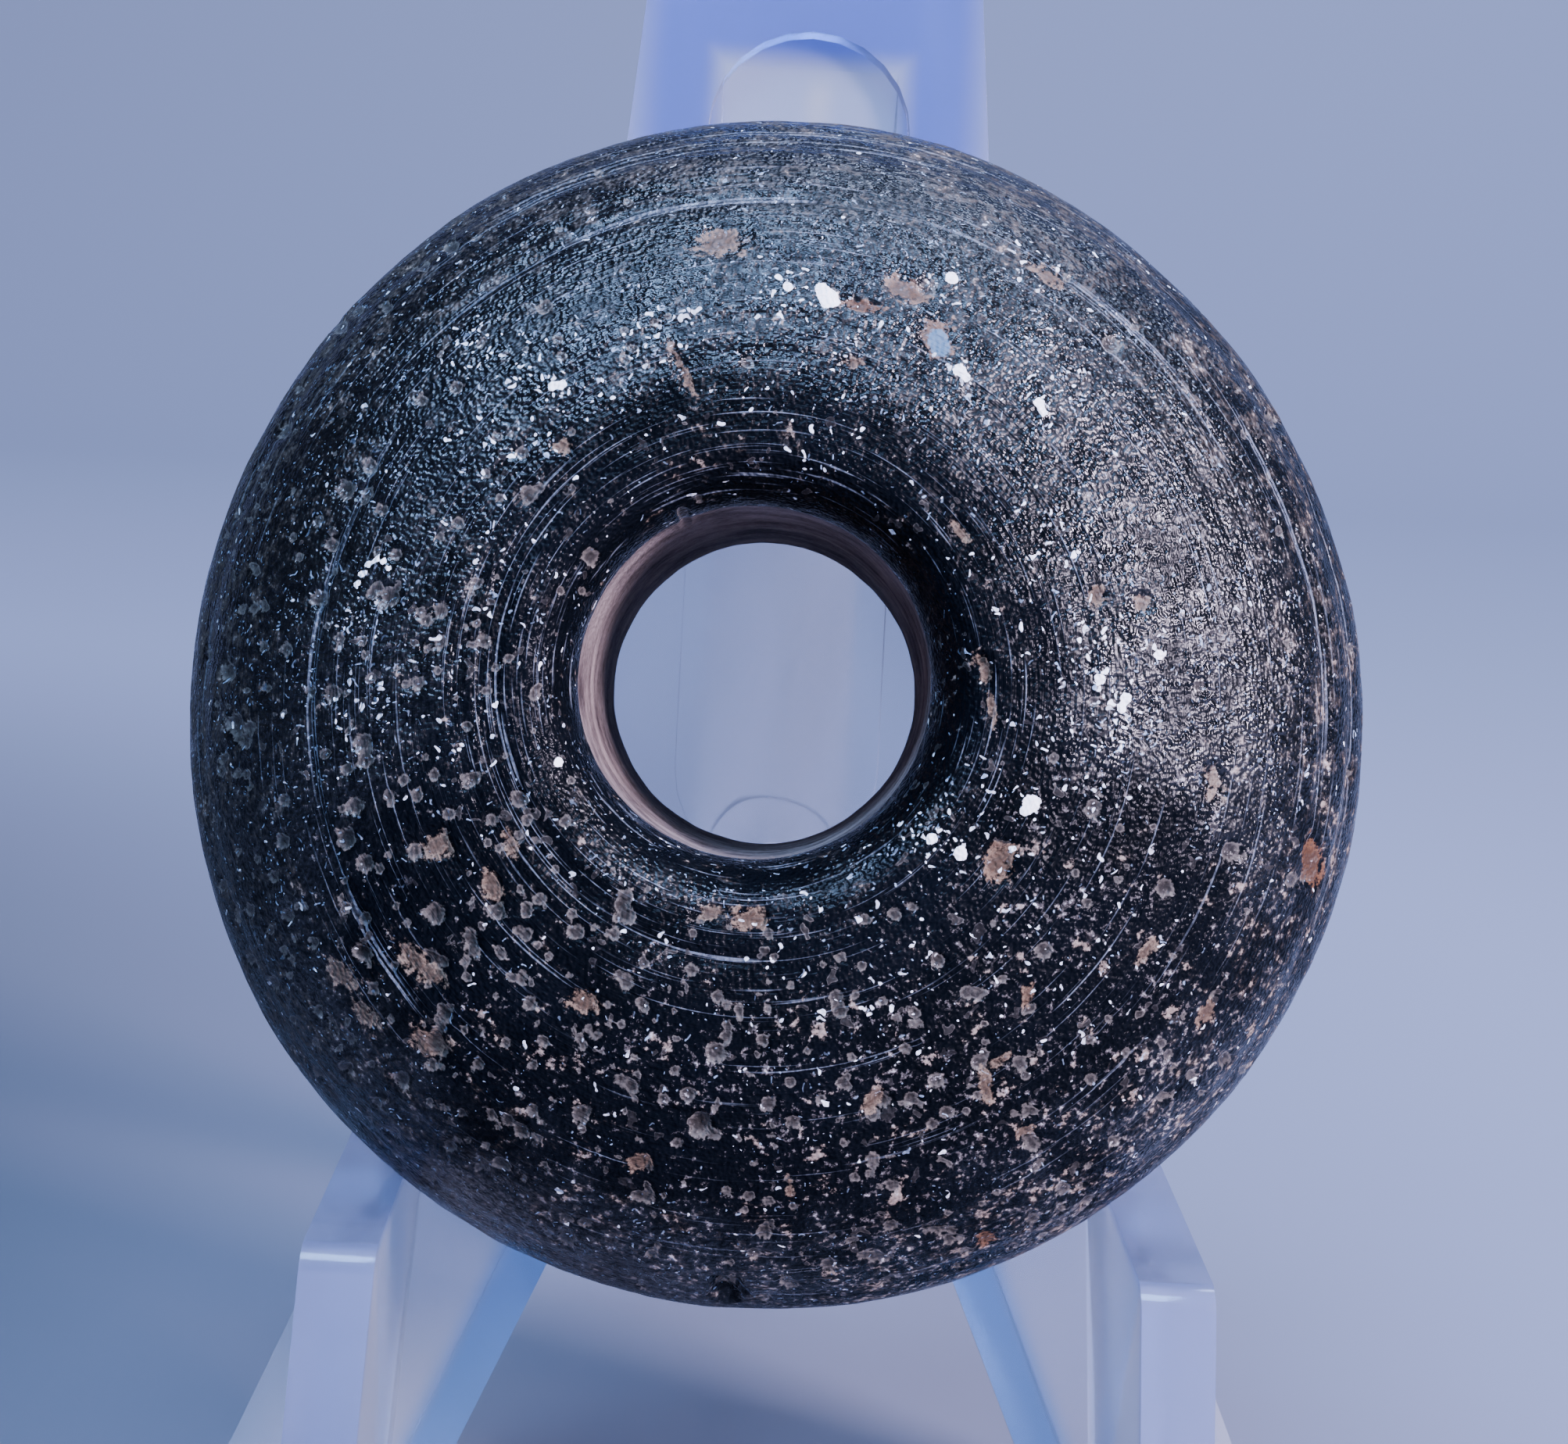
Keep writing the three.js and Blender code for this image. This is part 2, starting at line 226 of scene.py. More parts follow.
# Wheel lines: distance from the axis, half width, depth, the angles they run between, how pale
WHEEL_LINES = [
    (6.4, 0.16, 0.10, 120, 290, 0.8), (6.05, 0.12, 0.07, 130, 250, 0.9), (5.5, 0.12, 0.07, 100, 300, 0.5),
    (7.0, 0.11, 0.05, 150, 230, 0.5), (10.95, 0.16, 0.10, 140, 232, 0.95), (12.1, 0.16, 0.11, 84, 140, 1.2),
    (12.6, 0.14, 0.06, 92, 150, 0.6), (13.9, 0.2, 0.13, 70, 128, 0.9), (13.4, 0.18, 0.11, -20, 40, 1.0),
    (13.1, 0.16, 0.08, 200, 330, 0.3), (9.9, 0.12, 0.05, 225, 300, 0.3), (8.8, 0.12, 0.045, 60, 125, 0.5),
    (7.7, 0.12, 0.05, 330, 420, 0.4), (14.3, 0.2, 0.1, 0, 360, 0.3), (11.6, 0.14, 0.05, 20, 70, 0.8),
    (12.4, 0.14, 0.07, 28, 62, 0.9), (4.9, 0.1, 0.04, 20, 200, 0.4), (5.9, 0.1, 0.04, 270, 340, 0.5),
]
FINE_LINE_COUNT = 46

# Chips: place (x, z), half width, half height, turn in degrees, depth, share of rust in their earth
CHIPS = [
    ((-1.97, 11.1), 0.85, 0.45, 8, 0.09, 0.55), ((1.35, 9.62), 0.75, 0.16, -8, 0.10, 0.9),
    ((2.45, 10.1), 0.75, 0.36, -25, 0.08, 0.7), ((3.1, 8.95), 0.5, 0.65, 20, 0.05, 0.75),
    ((4.6, 1.2), 0.2, 0.5, 22, 0.16, 0.4),
    ((4.85, 0.35), 0.14, 0.6, 12, 0.10, 0.35), ((5.2, -3.2), 0.42, 0.62, -20, 0.18, 0.55),
    ((-0.5, -4.8), 0.5, 0.34, 10, 0.14, 0.45), ((-1.4, -4.7), 0.6, 0.24, 20, 0.10, 0.3),
    ((-4.3, -6.95), 0.5, 0.3, -10, 0.10, 0.5), ((-7.85, -3.5), 0.42, 0.42, 0, 0.12, 0.3),
    ((-8.1, -6.4), 0.9, 0.36, -35, 0.08, 0.3), ((-7.9, -8.3), 0.6, 0.5, -20, 0.10, 0.35),
    ((6.1, -6.3), 0.22, 0.36, 5, 0.03, 0.6), ((5.25, -8.5), 0.2, 0.55, 15, 0.03, 0.4),
    ((5.5, -7.9), 0.42, 0.14, 35, 0.03, 0.4), ((10.3, -1.1), 0.3, 0.6, 12, 0.12, 0.2),
    ((13.2, -2.95), 0.36, 0.75, 12, 0.10, 0.95), ((-2.8, -10.8), 0.36, 0.3, 0, 0.08, 0.45),
    ((-0.5, -14.1), 0.5, 0.45, 0, 0.42, 0.1), ((0.8, -11.2), 0.16, 0.45, 10, 0.03, 0.4),
    ((5.7, -12.5), 0.3, 0.26, 0, 0.06, 0.9), ((-10.1, -6.7), 0.7, 0.32, -40, 0.03, 0.35),
    ((-9.5, -7.6), 0.5, 0.3, -50, 0.03, 0.3), ((7.2, 3.1), 0.24, 0.28, 0, 0.14, 0.4),
    ((8.3, 3.0), 0.24, 0.3, 0, 0.14, 0.4), ((1.25, 8.2), 0.4, 0.2, 0, 0.06, 0.5),
    ((-2.75, 7.9), 0.16, 0.85, 28, 0.06, 0.5), ((5.9, 10.8), 0.75, 0.3, -35, 0.03, 0.55),
    ((6.3, -9.6), 0.36, 0.18, 40, 0.03, 0.35), ((2.6, -9.0), 0.24, 0.4, -30, 0.05, 0.3),
    ((-6.5, -4.4), 0.3, 0.5, 15, 0.10, 0.35), ((-6.1, -3.4), 0.2, 0.5, 25, 0.08, 0.35),
    ((8.9, -5.2), 0.42, 0.2, 50, 0.04, 0.3), ((10.6, -6.6), 0.5, 0.24, 55, 0.03, 0.5),
    ((3.9, 4.4), 0.2, 0.4, 30, 0.10, 0.3), ((-5.4, 5.9), 0.3, 0.24, 0, 0.08, 0.4),
]
BLUE_CHIP = ((3.25, 8.85), 0.3, 0.42, 20)

# Clusters of white mineral grains: place (x, z), how far they reach, how dense they are
WHITE_CLUSTERS = [
    ((-0.3, 9.9), 0.55, 0.8), ((3.5, 10.5), 0.4, 0.8), ((3.5, 8.2), 0.36, 0.7), ((5.8, 8.95), 0.4, 0.6),
    ((5.85, 7.9), 0.55, 1.0), ((6.6, 9.0), 0.5, 0.6), ((-7.6, 8.2), 0.6, 0.7), ((-6.6, 7.9), 0.5, 0.6),
    ((-5.6, 7.3), 0.4, 0.7), ((6.0, 4.1), 0.6, 0.5), ((7.0, 2.2), 0.5, 0.7), ((7.3, 1.3), 0.65, 0.7),
    ((8.0, 0.6), 0.55, 0.8), ((7.7, -0.3), 0.5, 0.7), ((8.6, 1.9), 0.3, 0.8), ((3.6, -2.8), 0.5, 0.9),
    ((4.3, -3.0), 0.4, 1.0), ((5.9, -1.8), 0.4, 0.8), ((7.4, -1.4), 0.6, 0.5), ((-10.3, 1.8), 0.4, 0.9),
    ((-9.9, -0.3), 0.5, 0.8), ((4.9, 10.9), 0.9, 0.4), ((-3.3, 8.7), 0.6, 0.7), ((-2.6, 9.0), 0.4, 0.7),
    ((1.4, 7.6), 1.6, 0.3), ((-6.5, 5.2), 2.0, 0.35), ((2.0, -7.5), 2.4, 0.3), ((-4.5, 6.8), 1.2, 0.4),
    ((6.5, -5.5), 2.4, 0.35), ((-9.0, -1.0), 1.2, 0.3), ((7.3, 0.5), 2.0, 0.3), ((0.5, 6.2), 1.5, 0.3),
]
# Larger white spots: place (x, z) and radius
WHITE_SPOTS = [
    ((0.62, 9.72), 0.26), ((0.45, 9.95), 0.18), ((-0.35, 9.95), 0.13), ((-5.05, -1.4), 0.12),
    ((5.9, -1.8), 0.22), ((5.75, -2.0), 0.15), ((4.3, -3.05), 0.18), ((3.6, -2.75), 0.15),
    ((3.5, 10.45), 0.17), ((3.75, 8.2), 0.16), ((3.9, 8.05), 0.12), ((5.65, 7.55), 0.14),
    ((5.75, 7.35), 0.12), ((8.0, 0.75), 0.15), ((7.35, 1.15), 0.15), ((7.9, 0.5), 0.13),
    ((-9.45, 3.05), 0.1), ((-9.6, 3.1), 0.1), ((-9.8, 2.95), 0.1), ((-9.95, 2.75), 0.1),
    ((-10.05, 2.5), 0.1), ((-9.3, 2.9), 0.09), ((-5.5, 7.35), 0.13), ((-5.7, 7.3), 0.12),
    ((5.5, -2.9), 0.1), ((8.75, 1.8), 0.14), ((6.6, 4.0), 0.1),
]
PIT_COUNT = 640


def scattered_noise(points, size, offset=0.0):
    """Smooth noise between about -1 and 1, with features of that size, at each point."""
    shift = Vector((offset, -offset, 2 * offset))
    return np.array([noise.noise(Vector(p) / size + shift) for p in points])


def arc_mask(across, angle, radius, half_width, start, end):
    """1 on the middle of an arc, fading to its sides and its ends."""
    middle = math.radians((start + end) / 2)
    reach = math.radians((end - start) / 2)
    away = np.abs((angle - middle + math.pi) % (2 * math.pi) - math.pi)
    ends = 1 - smooth_step(away, reach * 0.7, reach) if reach < math.pi else np.ones(len(angle))
    return np.exp(-((across - radius) / half_width) ** 2) * ends


def oval_distance(places, centre, half_width, half_height, turn):
    """Distance from the middle of a turned oval, with 1 on its edge."""
    aside = places - np.array(centre)
    cosine, sine = math.cos(math.radians(turn)), math.sin(math.radians(turn))
    across = (aside[:, 0] * cosine + aside[:, 1] * sine) / half_width
    upward = (aside[:, 1] * cosine - aside[:, 0] * sine) / half_height
    return np.hypot(across, upward)


def pit_places(chance):
    """Places on the front face, more of them to the left and below, with their sizes and depths."""
    places = []
    while len(places) < PIT_COUNT:
        x, z = chance.uniform(-RIM_RADIUS, RIM_RADIUS, 2)
        radius = math.hypot(x, z)
        if not FRONT_BORE + 0.9 < radius < RIM_RADIUS - 0.4:
            continue
        left_and_low = 0.5 - 0.5 * (x + 1.3 * z) / (1.7 * radius)
        if chance.random() < 0.04 + 0.96 * left_and_low ** 1.5:
            size = 0.11 + 0.08 * chance.random() + 0.17 * chance.random() ** 4
            places.append((x, z, size, chance.random()))
    return places


def mark_surface(ring, turned, shaped, normals):
    """Presses every mark into the ring and stores the fields that its material reads."""
    chance = np.random.default_rng(SEED)
    across = np.hypot(turned[:, 0], turned[:, 2])
    angle = np.arctan2(turned[:, 2], turned[:, 0])
    depth = turned[:, 1]
    front = smooth_step(-depth, -0.5, 0.5)
    on_face = shaped[:, [0, 2]]
    broad = scattered_noise(shaped, 3.2)
    middling = scattered_noise(shaped, 1.1, 5.0)
    fine = scattered_noise(shaped, 0.42, 9.0)
    relief = 0.05 * broad + 0.02 * middling + 0.012 * fine

    # A thin haze of wheel marks lies all over, mostly round the mouth and to the left of it.
    line = 0.06 + 0.24 * np.exp(-((across - 5.8) / 1.3) ** 2) * (0.6 - 0.4 * np.cos(angle))
    for radius, half_width, groove_depth, start, end, pale in WHEEL_LINES:
        mask = arc_mask(across, angle, radius, half_width, start, end) * front
        relief -= groove_depth * mask * np.clip(0.8 + 0.6 * middling, 0, 1.2)
        line = np.maximum(line, mask * pale)
    for _ in range(FINE_LINE_COUNT):
        radius = chance.uniform(4.6, 14.6)
        start = chance.uniform(0, 360)
        mask = arc_mask(across, angle, radius, 0.1, start, start + chance.uniform(25, 110)) * front
        mask *= 0.1 + 0.9 * smooth_step(np.cos(angle - math.radians(140)), -0.5, 0.3)
        relief -= 0.03 * mask
        line = np.maximum(line, 0.35 * mask)

    outside = -0.6
    earth = np.full(len(shaped), outside)
    rust = np.zeros(len(shaped))
    for centre, half_width, half_height, turn, chip_depth, chip_rust in CHIPS:
        oval = oval_distance(on_face, centre, half_width, half_height, turn) + (1 - front)
        inside = np.clip(1 - oval, outside, 1)
        relief -= chip_depth * smooth_step(inside + 0.4 * fine, -0.1, 0.4)
        rust[inside > earth] = chip_rust
        earth = np.maximum(earth, inside)
    blue = np.clip(1 - oval_distance(on_face, *BLUE_CHIP) - (1 - front), outside, 1)

    front_points = np.flatnonzero(depth < 0)
    front_places = on_face[front_points]
    pit = np.full(len(shaped), outside)
    for x, z, size, strength in pit_places(chance):
        near = np.hypot(front_places[:, 0] - x, front_places[:, 1] - z) / size
        hit = front_points[near < 1.6]
        near = near[near < 1.6]
        relief[hit] -= size * (0.2 + 0.25 * strength) * np.clip(1 - near ** 2, 0, 1)
        relief[hit] += 0.06 * size * np.exp(-((near - 1.15) / 0.2) ** 2)
        pit[hit] = np.maximum(pit[hit], np.clip(0.75 + 0.25 * strength - near, outside, 1))

    spot = np.full(len(shaped), outside)
    for (x, z), size in WHITE_SPOTS:
        near = np.hypot(front_places[:, 0] - x, front_places[:, 1] - z) / size
        hit = front_points[near < 1.6]
        near = near[near < 1.6]
        spot[hit] = np.maximum(spot[hit], np.clip(1 - near, outside, 1))
        relief[hit] += 0.04 * np.clip(1 - near ** 2, 0, 1)
    white = 0.02 + 0.02 * np.clip(middling, 0, 1)
    for (x, z), reach, dense in WHITE_CLUSTERS:
        near = np.hypot(front_places[:, 0] - x, front_places[:, 1] - z) / reach
        dense *= 1.0 if reach < 0.8 else 0.45
        white[front_points] = np.maximum(white[front_points], dense * np.exp(-(near / 1.2) ** 2))

    # Tiny pale points lie thickly round the mouth, in a band above and to the left, and in a patch on the
    # right. They are partly pale grains and partly painted glints: the band and the patch lie where the
    # lamps' sheen falls, a painted glint sits on the lower lip, and more of them along the left rim are
    # painted sheen.
    in_band = np.exp(-((across - 9.9) / 2.9) ** 4)
    upper_left = smooth_step(np.cos(angle - math.radians(115)), -0.3, 0.5)
    on_right = smooth_step(np.cos(angle - math.radians(22)), 0.7, 0.97)
    on_lip = np.exp(-((across - 4.9) / 0.7) ** 2) * smooth_step(-np.sin(angle), 0, 0.7)
    grains_and_glints = 0.11 + in_band * np.maximum(0.55 * upper_left, 0.5 * on_right) + 0.3 * on_lip
    near_mouth = np.exp(-((across - 6.3) / 1.6) ** 2)
    # Painted sheen: more pale points along the left rim
    grains_and_glints += 0.3 * smooth_step(across, 10.5, 14) * (0.5 - 0.5 * np.cos(angle))
    grains_and_glints += 0.07 * near_mouth + 0.15 * middling + 0.1 * broad
    white[front_points] += 0.04 * near_mouth[front_points]

    # Grit lies thickest below and to the right, and a film of earth gathers near the rim. The film is
    # heavier on the left rim, where it is partly painted sheen.
    low_right = (0.5 + 0.5 * np.cos(angle - math.radians(-60))) ** 2
    above = 0.5 + 0.5 * np.cos(angle - math.radians(75))
    toward_rim = smooth_step(across, 9.5, 14.5)
    grit = 0.05 + 0.65 * low_right * smooth_step(across, 5.2, 8.5) + 0.15 * toward_rim
    grit += 0.3 * broad + 0.35 * middling
    left_rim_sheen = 0.5 - 0.5 * np.cos(angle)
    film_and_sheen = toward_rim * (0.28 + 0.3 * above + 0.3 * left_rim_sheen) + (1 - front) * 0.4
    film_and_sheen += 0.3 * broad * toward_rim + 0.25 * middling * (0.3 + 0.7 * toward_rim)
    film_and_sheen -= 0.15 * (1 - toward_rim)
    bore = (CREST_RADIUS - across) / (CREST_RADIUS - FRONT_BORE) - 0.93
    mouth_starts = HALF_THICKNESS - MOUTH_DEPTH + 0.1
    bore += 0.04 * middling - 5 * smooth_step(np.abs(depth), mouth_starts, HALF_THICKNESS)

    # The whole skin lies a hair inside the turned form.
    relief = np.minimum(relief - 0.07, -0.005)
    write_points(ring, (shaped + normals * relief[:, None]) * MM)
    fields = (line, earth, rust, blue, pit, spot, white, grains_and_glints, grit, film_and_sheen, bore, depth)
    for name, values in zip(FIELDS, fields):
        attribute = ring.data.attributes.new(name, "FLOAT", "POINT")
        attribute.data.foreach_set("value", values.astype(np.float32))
    round_axis = np.column_stack([across, np.cos(angle), np.sin(angle)])
    attribute = ring.data.attributes.new("round_axis", "FLOAT_VECTOR", "POINT")
    attribute.data.foreach_set("vector", round_axis.astype(np.float32).ravel())


def set_in_place(ring):
    """Finds the shift that sets the leaned-back ring where the solid model's ring is, judged before it is
    marked.
    """
    points = read_points(ring) @ np.array(Matrix.Rotation(-LEAN, 3, "X")).T
    low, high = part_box("spindle_whorl")
    middle = (points.min(axis=0) + points.max(axis=0)) / 2
    return np.array((low + high) / 2) - middle


def make_whorl():
    ring = turned_ring()
    turned = read_points(ring) / MM
    shaped = hand_shaped(turned)
    write_points(ring, shaped * MM)
    place = set_in_place(ring)
    mark_surface(ring, turned, shaped, read_normals(ring))
    ring.data.transform(Matrix.Translation(place) @ Matrix.Rotation(-LEAN, 4, "X"))
    ring.name = "whorl_glass"
    select_only(ring)
    bpy.ops.object.shade_smooth()
    ring.data.materials.clear()
    ring.data.materials.append(weathered_black_glass())
    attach(ring, "root")
    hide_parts("spindle_whorl")
    return ring


# Materials. RGBA and MIXED pick a Mix node's colour side.

RGBA = {"data_type": "RGBA"}
MIXED = "Result_Color"
SMOOTH = {"interpolation_type": "SMOOTHSTEP"}


def rounds(tree, place, spacing, smallest, largest, share):
    """Round grains or bubbles, in that share of cells that are a spacing wide, sizes in millimetres.
    Gives how far inside one a point is (0 outside, 1 in the middle) and a tone of its own for each."""
    distance = add(tree, "ShaderNodeTexVoronoi", None, {"Vector": place, "Scale": 1 / (spacing * MM)})
    lot = add(tree, "ShaderNodeSeparateColor", None, {"Color": distance.node.outputs["Color"]})
    radius = add(tree, "ShaderNodeMapRange", None,
                 {"Value": lot.node.outputs["Blue"],
                  "To Min": smallest / spacing, "To Max": largest / spacing})
    near = add(tree, "ShaderNodeMath", {"operation": "DIVIDE"}, {0: distance, 1: radius})
    kept = add(tree, "ShaderNodeMath", {"operation": "LESS_THAN"}, {0: lot, 1: share})
    inside = add(tree, "ShaderNodeMath", {"operation": "SUBTRACT", "use_clamp": True}, {0: kept, 1: near})
    return inside, lot.node.outputs["Green"]


def weathered_black_glass():
    """Opaque black glass, wound and turned, then long buried: satin where it is clean, matte where earth
    clings, and pricked all over with pale grains and pinholes, among which painted glints lie where the
    lamps' sheen falls."""
    material, tree = new_material("weathered_black_glass")
    place = add(tree, "ShaderNodeTexCoord", output="Object")
    field = {}
    for name in FIELDS:
        field[name] = add(tree, "ShaderNodeAttribute", {"attribute_name": name}, output="Fac")
    round_axis = add(tree, "ShaderNodeAttribute", {"attribute_name": "round_axis"}, output="Vector")

    # Outlines sway by up to a quarter of a millimetre, the white grains' by less, so that none is a
    # true circle
    sway = add(tree, "ShaderNodeTexNoise", None,
               {"Vector": place, "Scale": 1 / (0.22 * MM), "Detail": 0.0}, "Color")
    centred = add(tree, "ShaderNodeVectorMath", {"operation": "SUBTRACT"}, {0: sway, 1: (0.5, 0.5, 0.5)})
    shift = add(tree, "ShaderNodeVectorMath", {"operation": "SCALE"}, {0: centred, "Scale": 0.5 * MM})
    swayed = add(tree, "ShaderNodeVectorMath", {"operation": "ADD"}, {0: place, 1: shift})
    shift = add(tree, "ShaderNodeVectorMath", {"operation": "SCALE"}, {0: centred, "Scale": 0.32 * MM})
    rounded = add(tree, "ShaderNodeVectorMath", {"operation": "ADD"}, {0: place, 1: shift})

    # Unevenness at three sizes, in millimetres
    cloud = add(tree, "ShaderNodeTexNoise", None, {"Vector": place, "Scale": 1 / (2.4 * MM), "Detail": 1.0})
    patchy = add(tree, "ShaderNodeTexNoise", None,
                 {"Vector": place, "Scale": 1 / (0.7 * MM), "Detail": 3.0, "Roughness": 0.6})
    ragged = add(tree, "ShaderNodeTexNoise", None,
                 {"Vector": place, "Scale": 1 / (0.2 * MM), "Detail": 3.0, "Roughness": 0.65})

    # Wheel marks: streaks about 0.06 mm wide that run round the axis, coarser than the real
    # scratches so that they show
    stretched = add(tree, "ShaderNodeVectorMath", {"operation": "MULTIPLY"},
                    {0: round_axis, 1: (1 / 0.055, 2.5, 2.5)})
    streaks = add(tree, "ShaderNodeTexNoise", {"noise_dimensions": "4D"},
                  {"Vector": stretched, "W": field["depth"], "Scale": 1.0, "Detail": 1.0})
    streak_edge = add(tree, "ShaderNodeMath", {"operation": "MULTIPLY_ADD"},
                      {0: field["line"], 1: 0.2, 2: streaks})
    lines = add(tree, "ShaderNodeMapRange", SMOOTH,
                {"Value": streak_edge, "From Min": 0.66, "From Max": 0.79, "To Max": 0.7})
    broken = add(tree, "ShaderNodeMapRange", None,
                 {"Value": ragged, "From Min": 0.38, "From Max": 0.55, "To Min": 0.4})
    lines = add(tree, "ShaderNodeMath", {"operation": "MULTIPLY"}, {0: lines, 1: broken})

    # Flecks of grit, 0.05 to 0.2 mm, and crumbs of soil, up to 0.5 mm
    fleck_edge = add(tree, "ShaderNodeMath", {"operation": "MULTIPLY_ADD"},
                     {0: field["grit"], 1: 0.15, 2: ragged})
    flecks = add(tree, "ShaderNodeMapRange", SMOOTH,
                 {"Value": fleck_edge, "From Min": 0.68, "From Max": 0.75, "To Max": 0.8})
    bright_flecks = add(tree, "ShaderNodeMapRange", SMOOTH,
                        {"Value": fleck_edge, "From Min": 0.76, "From Max": 0.84, "To Max": 0.9})
    crumb_edge = add(tree, "ShaderNodeMath", {"operation": "MULTIPLY_ADD"},
                     {0: field["grit"], 1: 0.14, 2: patchy})
    crumb_edge = add(tree, "ShaderNodeMath", {"operation": "MULTIPLY_ADD"},
                     {0: ragged, 1: 0.7, 2: crumb_edge})
    crumbs = add(tree, "ShaderNodeMapRange", SMOOTH,
                 {"Value": crumb_edge, "From Min": 1.09, "From Max": 1.18, "To Max": 0.8})

    # Grains and bubbles in the glass, filled with earth, three sizes of them. The smallest are partly pale
    # grains and partly painted glints, thickest where the lamps' sheen falls.
    grain_glint_dots, grain_glint_tone = rounds(tree, swayed, 0.17, 0.026, 0.062, field["grains_and_glints"])
    bubbles, bubble_tone = rounds(tree, swayed, 0.55, 0.08, 0.2, 0.5)
    whites, white_tone = rounds(tree, rounded, 0.18, 0.03, 0.09, field["white"])
    grain_glint_mask = add(tree, "ShaderNodeMapRange", SMOOTH, {"Value": grain_glint_dots, "From Max": 0.4, "To Max": 0.8})
    bubble_edge = add(tree, "ShaderNodeMath", {"operation": "MULTIPLY_ADD"},
                      {0: ragged, 1: 0.9, 2: bubbles})
    bubble_mask = add(tree, "ShaderNodeMapRange", SMOOTH,
                      {"Value": bubble_edge, "From Min": 0.56, "From Max": 0.68, "To Max": 0.4})
    bubble_heart = add(tree, "ShaderNodeMapRange", SMOOTH,
                       {"Value": bubbles, "From Min": 0.1, "From Max": 0.4, "To Max": 0.8})
    white_mask = add(tree, "ShaderNodeMapRange", SMOOTH, {"Value": whites, "From Max": 0.25})

    # The modelled marks, with ragged edges
    pit_edge = add(tree, "ShaderNodeMath", {"operation": "MULTIPLY_ADD"},
                   {0: ragged, 1: 1.1, 2: field["pit"]})
    pits = add(tree, "ShaderNodeMapRange", SMOOTH,
               {"Value": pit_edge, "From Min": 0.66, "From Max": 0.8, "To Max": 0.42})
    pit_heart = add(tree, "ShaderNodeMapRange", SMOOTH,
                    {"Value": pit_edge, "From Min": 0.86, "From Max": 1.1, "To Max": 0.8})
    earth_edge = add(tree, "ShaderNodeMath", {"operation": "MULTIPLY_ADD"},
                     {0: patchy, 1: 1.5, 2: field["earth"]})
    earth_edge = add(tree, "ShaderNodeMath", {"operation": "MULTIPLY_ADD"},
                     {0: ragged, 1: 2.2, 2: earth_edge})
    earth = add(tree, "ShaderNodeMapRange", SMOOTH,
                {"Value": earth_edge, "From Min": 1.96, "From Max": 2.34, "To Max": 0.8})
    blue_edge = add(tree, "ShaderNodeMath", {"operation": "MULTIPLY_ADD"},
                    {0: ragged, 1: 0.8, 2: field["blue"]})
    blue = add(tree, "ShaderNodeMapRange", SMOOTH,
               {"Value": blue_edge, "From Min": 0.5, "From Max": 0.65, "To Max": 0.9})
    spot_edge = add(tree, "ShaderNodeMath", {"operation": "MULTIPLY_ADD"},
                    {0: ragged, 1: 0.8, 2: field["spot"]})
    spots = add(tree, "ShaderNodeMapRange", SMOOTH, {"Value": spot_edge, "From Min": 0.4, "From Max": 0.5})
    film_and_sheen_edge = add(tree, "ShaderNodeMath", {"operation": "MULTIPLY_ADD"},
                    {0: field["film_and_sheen"], 1: 0.3, 2: ragged})
    film_and_sheen_edge = add(tree, "ShaderNodeMath", {"operation": "MULTIPLY_ADD"},
                    {0: patchy, 1: 0.9, 2: film_and_sheen_edge})
    film_and_sheen_edge = add(tree, "ShaderNodeMath", {"operation": "MULTIPLY_ADD"},
                    {0: streaks, 1: 0.5, 2: film_and_sheen_edge})
    film_and_sheen = add(tree, "ShaderNodeMapRange", SMOOTH,
               {"Value": film_and_sheen_edge, "From Min": 1.32, "From Max": 1.58, "To Max": 0.75})
    in_bore = add(tree, "ShaderNodeMapRange", SMOOTH, {"Value": field["bore"], "From Max": 0.03})

    # What each layer is coloured. Every one covers the ones before it.
    glass = add(tree, "ShaderNodeMix", RGBA,
                {"Factor_Float": cloud, "A_Color": colour("#020304"), "B_Color": colour("#070a10")}, MIXED)
    film_and_sheen_colour = add(tree, "ShaderNodeMix", RGBA,
                      {"Factor_Float": patchy, "A_Color": colour("#0f0c0c"), "B_Color": colour("#463b32")},
                      MIXED)
    fleck_colour = add(tree, "ShaderNodeMix", RGBA,
                       {"Factor_Float": patchy, "A_Color": colour("#2f2b2d"), "B_Color": colour("#6a6361")},
                       MIXED)
    crumb_colour = add(tree, "ShaderNodeMix", RGBA,
                       {"Factor_Float": ragged, "A_Color": colour("#2f251f"), "B_Color": colour("#b09c8e")},
                       MIXED)
    grain_glint_colour = add(tree, "ShaderNodeMix", RGBA,
                       {"Factor_Float": grain_glint_tone, "A_Color": colour("#2e3540"),
                        "B_Color": colour("#9fb2c8")}, MIXED)
    bubble_colour = add(tree, "ShaderNodeMix", RGBA,
                        {"Factor_Float": bubble_tone, "A_Color": colour("#3a383a"),
                         "B_Color": colour("#857e78")}, MIXED)
    white_colour = add(tree, "ShaderNodeMix", RGBA,
                       {"Factor_Float": white_tone, "A_Color": colour("#a3a8b0"),
                        "B_Color": colour("#f6f9fc")}, MIXED)
    pit_colour = add(tree, "ShaderNodeMix", RGBA,
                     {"Factor_Float": ragged, "A_Color": colour("#1a1918"), "B_Color": colour("#a29990")},
                     MIXED)
    earth_colour = add(tree, "ShaderNodeMix", RGBA,
                       {"Factor_Float": field["rust"], "A_Color": colour("#8d7f6f"),
                        "B_Color": colour("#70492f")}, MIXED)
